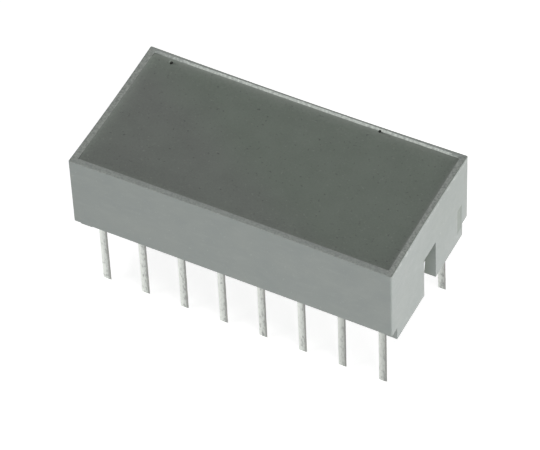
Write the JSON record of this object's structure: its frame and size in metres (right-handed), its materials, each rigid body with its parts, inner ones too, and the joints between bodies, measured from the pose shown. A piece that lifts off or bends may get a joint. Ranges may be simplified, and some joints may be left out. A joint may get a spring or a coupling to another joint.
{
  "type": "led light bar display",
  "caption": "Rectangular LED light bar in a dual in-line package, a grey notched housing potted with diffusing epoxy on two rows of straight leads.",
  "frame": {"origin": "centre of the lead footprint, on the plane of the stand-off feet, where the circuit board's surface is", "axes": "+X along the long sides, with the front long side at -Y, and +Z the way the light leaves"},
  "size_m": [0.02, 0.01, 0.0109],
  "materials": {
    "housing": "grey moulded plastic, satin",
    "epoxy": "cast epoxy, semi-gloss, tinted and diffusing",
    "tinned_lead": "tinned, satin",
    "led_chip": "sawn semiconductor crystal",
    "silver_epoxy": "silver-filled epoxy, dull",
    "gold_wire": "drawn gold wire"
  },
  "bodies": {
    "root": {"housing": "housing", "epoxy": "epoxy", "lead_01": "tinned_lead", "lead_02": "tinned_lead", "lead_03": "tinned_lead", "lead_04": "tinned_lead", "lead_05": "tinned_lead", "lead_06": "tinned_lead", "lead_07": "tinned_lead", "lead_08": "tinned_lead", "lead_09": "tinned_lead", "lead_10": "tinned_lead", "lead_11": "tinned_lead", "lead_12": "tinned_lead", "lead_13": "tinned_lead", "lead_14": "tinned_lead", "lead_15": "tinned_lead", "lead_16": "tinned_lead", "led_die_a": "led_chip", "led_die_b": "led_chip", "led_die_c": "led_chip", "led_die_d": "led_chip", "led_die_e": "led_chip", "led_die_f": "led_chip", "led_die_g": "led_chip", "led_die_h": "led_chip", "die_attach_a": "silver_epoxy", "die_attach_b": "silver_epoxy", "die_attach_c": "silver_epoxy", "die_attach_d": "silver_epoxy", "die_attach_e": "silver_epoxy", "die_attach_f": "silver_epoxy", "die_attach_g": "silver_epoxy", "die_attach_h": "silver_epoxy", "bond_wire_a": "gold_wire", "bond_wire_b": "gold_wire", "bond_wire_c": "gold_wire", "bond_wire_d": "gold_wire", "bond_wire_e": "gold_wire", "bond_wire_f": "gold_wire", "bond_wire_g": "gold_wire", "bond_wire_h": "gold_wire"}
  },
  "joints": []
}
